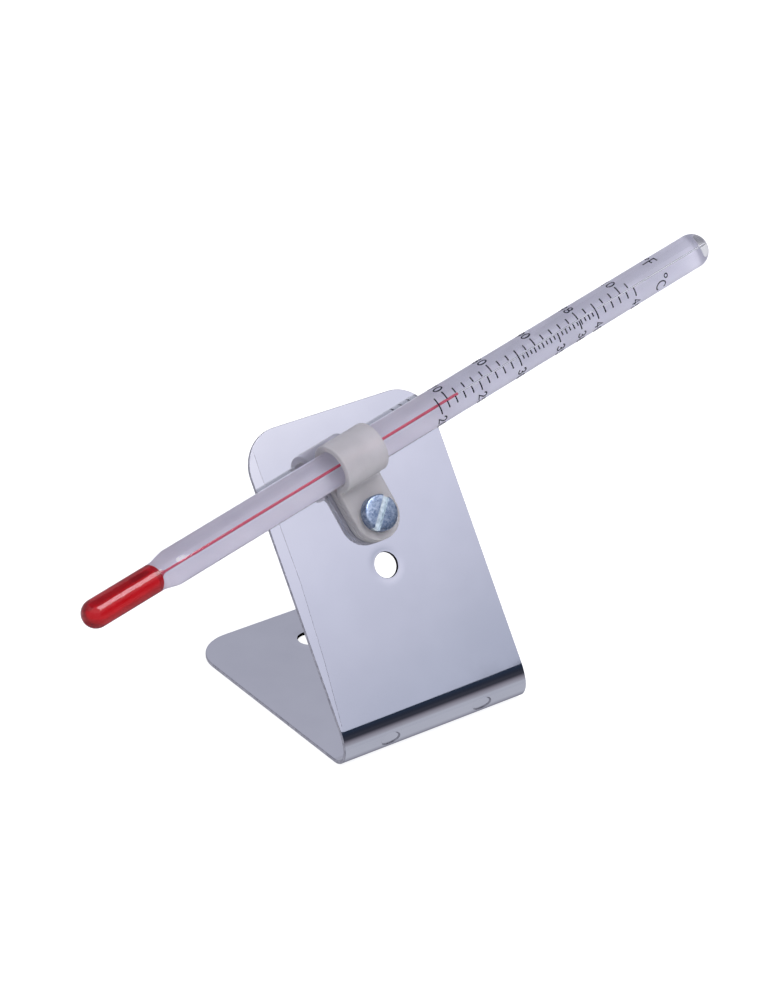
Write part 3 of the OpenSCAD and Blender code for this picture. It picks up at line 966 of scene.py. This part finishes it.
def add_camera():
    camera = bpy.data.objects.new("camera", bpy.data.cameras.new("camera"))
    camera.data.lens = CAMERA_LENS
    camera.data.sensor_width = 36
    camera.data.clip_start, camera.data.clip_end = 0.01, 20
    away = direction(CAMERA_AZIMUTH, CAMERA_ELEVATION)
    camera.location = Vector(CAMERA_TARGET) + CAMERA_DISTANCE * away
    aim(camera, CAMERA_TARGET)
    bpy.context.scene.collection.objects.link(camera)
    bpy.context.scene.camera = camera


def add_softbox(azimuth, elevation, distance, size, radiance, colour):
    lamp = bpy.data.lights.new("key_softbox", "AREA")
    lamp.shape = "RECTANGLE"
    lamp.size, lamp.size_y = size
    lamp.energy = radiance * math.pi * size[0] * size[1]
    lamp.color = colour
    obj = bpy.data.objects.new("key_softbox", lamp)
    away = direction(math.radians(azimuth), math.radians(elevation))
    obj.location = Vector(CAMERA_TARGET) + distance * away
    aim(obj, CAMERA_TARGET)
    bpy.context.scene.collection.objects.link(obj)


# The studio's light by height: the direction's z, then its colour
FRONT_SKY = [
    (-1.0, (0.49, 0.50, 0.54)), (-0.04, (0.49, 0.50, 0.54)), (0.04, (0.43, 0.44, 0.475)),
    (0.30, (0.45, 0.46, 0.50)), (0.44, (0.465, 0.495, 0.575)), (0.458, (0.492, 0.518, 0.604)),
    (0.470, (0.545, 0.566, 0.648)), (0.482, (0.620, 0.630, 0.714)), (0.494, (0.671, 0.682, 0.769)),
    (0.506, (0.739, 0.745, 0.834)), (0.512, (0.767, 0.768, 0.853)), (0.530, (0.80, 0.80, 0.874)),
    (0.535, (0.89, 0.88, 0.94)), (0.545, (0.98, 0.97, 1.02)), (1.0, (0.98, 0.99, 1.08))]
BACK_SKY = [
    (-1.0, (0.30, 0.30, 0.34)), (-0.95, (0.26, 0.26, 0.30)), (-0.80, (0.24, 0.24, 0.28)),
    (-0.70, (0.30, 0.30, 0.34)), (-0.60, (0.72, 0.72, 0.77)), (-0.10, (0.72, 0.72, 0.77)),
    (0.0, (0.43, 0.435, 0.475)), (0.48, (0.405, 0.41, 0.46)), (0.8, (0.69, 0.69, 0.76)),
    (1.0, (0.98, 0.99, 1.08))]


def sky_ramp(tree, height, stops):
    return colour_ramp(tree, height, [((z + 1) / 2, colour) for z, colour in stops])


def add_world():
    world = bpy.data.worlds.new("studio")
    bpy.context.scene.world = world
    world.use_nodes = True
    tree = world.node_tree
    background = tree.nodes["Background"]
    split = tree.nodes.new("ShaderNodeSeparateXYZ")
    coords = tree.nodes.new("ShaderNodeTexCoord")
    tree.links.new(coords.outputs["Generated"], split.inputs[0])
    height = tree.nodes.new("ShaderNodeMapRange")
    height.inputs["From Min"].default_value = -1
    tree.links.new(split.outputs["Z"], height.inputs["Value"])
    back = tree.nodes.new("ShaderNodeMapRange")
    back.inputs["From Min"].default_value = -0.3
    back.inputs["From Max"].default_value = 0.3
    tree.links.new(split.outputs["Y"], back.inputs["Value"])
    mix = tree.nodes.new("ShaderNodeMix")
    mix.data_type = "RGBA"
    tree.links.new(back.outputs["Result"], mix.inputs[0])
    tree.links.new(sky_ramp(tree, height.outputs["Result"], FRONT_SKY), mix.inputs[6])
    tree.links.new(sky_ramp(tree, height.outputs["Result"], BACK_SKY), mix.inputs[7])
    tree.links.new(mix.outputs[2], background.inputs["Color"])
    background.inputs["Strength"].default_value = 1.0


def add_board(name, corners, stops):
    """A board that only reflections show. Its light runs through stops from its low edge up."""
    low, high = min(c[2] for c in corners), max(c[2] for c in corners)
    mesh = bpy.data.meshes.new(name)
    mesh.from_pydata(corners, [], [[0, 1, 2, 3]])
    m = Nodes(name).set(Roughness=0.9, Emission_Strength=1.0, Specular_IOR_Level=0.0)
    m.colour(m.ramp(m.noise(8, 2), [(0.3, (0.001, 0.001, 0.002)), (0.7, (0.002, 0.002, 0.005))]))
    split = m.tree.nodes.new("ShaderNodeSeparateXYZ")
    m.link(m.coords, split.inputs[0])
    fade = m.ramp(m.range(split.outputs["Z"], 0, 1, low, high), stops)
    m.link(fade, m.shader.inputs["Emission Color"])
    mesh.materials.append(m.material)
    board = bpy.data.objects.new(name, mesh)
    bpy.context.scene.collection.objects.link(board)
    board.visible_camera = board.visible_diffuse = False
    board.visible_shadow = board.visible_transmission = False


def add_boards():
    """A dark flag low in front that fades out downwards, and a dim ceiling behind the lamp."""
    foot, reach, low, high = Vector((0, -0.03, 0)), 0.9, -0.30, 0.402
    a, b = (foot + reach * direction(math.radians(turn), 0) for turn in (5, 62))
    down, up = Vector((0, 0, low)), Vector((0, 0, high))
    add_board("flag", [a + down, b + down, b + up, a + up],
              [(0.28, (0.47, 0.48, 0.52)), (0.40, (0.36, 0.35, 0.38)), (0.51, (0.15, 0.14, 0.16)),
               (0.60, (0.05, 0.05, 0.06)), (0.67, (0.024, 0.028, 0.040)),
               (0.86, (0.020, 0.030, 0.050))])
    add_board("ceiling", [(-0.7, -0.2, 1.1), (0.9, -0.2, 1.1), (0.9, 0.9, 1.0), (-0.7, 0.9, 1.0)],
              [(0.0, (0.12, 0.12, 0.14)), (1.0, (0.05, 0.05, 0.06))])


def add_floor():
    size, cells = 2.4, 24
    verts = [((i / cells - 0.5) * size, (j / cells - 0.5) * size, 0) for j in range(cells + 1)
             for i in range(cells + 1)]
    mesh = bpy.data.meshes.new("floor")
    mesh.from_pydata(verts, [], grid_faces(cells + 1, cells + 1, wrap_cols=False))
    m = Nodes("pale_floor").set(Roughness=0.85, Emission_Strength=0.78, Emission_Color=(1, 1, 1, 1),
                                Specular_IOR_Level=0.1)
    m.colour(m.ramp(m.noise(6, 2), [(0.3, (0.50, 0.50, 0.50)), (0.7, (0.53, 0.53, 0.53))]))
    mesh.materials.append(m.material)
    floor = bpy.data.objects.new("floor", mesh)
    bpy.context.scene.collection.objects.link(floor)
    floor.visible_glossy = floor.visible_transmission = False


def build_object():
    zinc = turned_zinc("zinc_plate", (0.15, 0.21, 0.34), (0.42, 0.50, 0.64), 0.24, 0.38)
    ink = scale_ink()
    build_stand(polished_sheet(), edge_and_painted_shade_metal())
    build_clip(natural_nylon())
    # A lighter copy of the zinc, painted on the screw's slot as a highlight.
    slot_highlight_zinc = turned_zinc("slot_highlight_zinc", (0.40, 0.47, 0.53), (0.66, 0.73, 0.78), 0.3, 0.45)
    build_screw(zinc, slot_highlight_zinc)
    spring_steel = turned_zinc("spring_steel", (0.34, 0.36, 0.42), (0.5, 0.52, 0.58), 0.22, 0.36)
    build_washers(zinc, spring_steel)
    build_nut(zinc)
    build_glass(clear_glass("stem_glass", (0.96, 0.97, 0.99), 0.08))
    build_enamel(white_enamel())
    build_spirit(red_spirit(), red_thread())
    build_numbers(ink)
    for node in ("celsius_scale", "fahrenheit_scale"):
        mesh = frame["nodes"][node].data
        mesh.materials.clear()
        mesh.materials.append(ink)


add_camera()
add_world()
add_floor()
add_boards()
add_softbox(22, 57, 1.2, (0.34, 0.58), 8.0, (1.0, 0.985, 1.0))
build_object()
bpy.context.scene.view_settings.view_transform = "Standard"
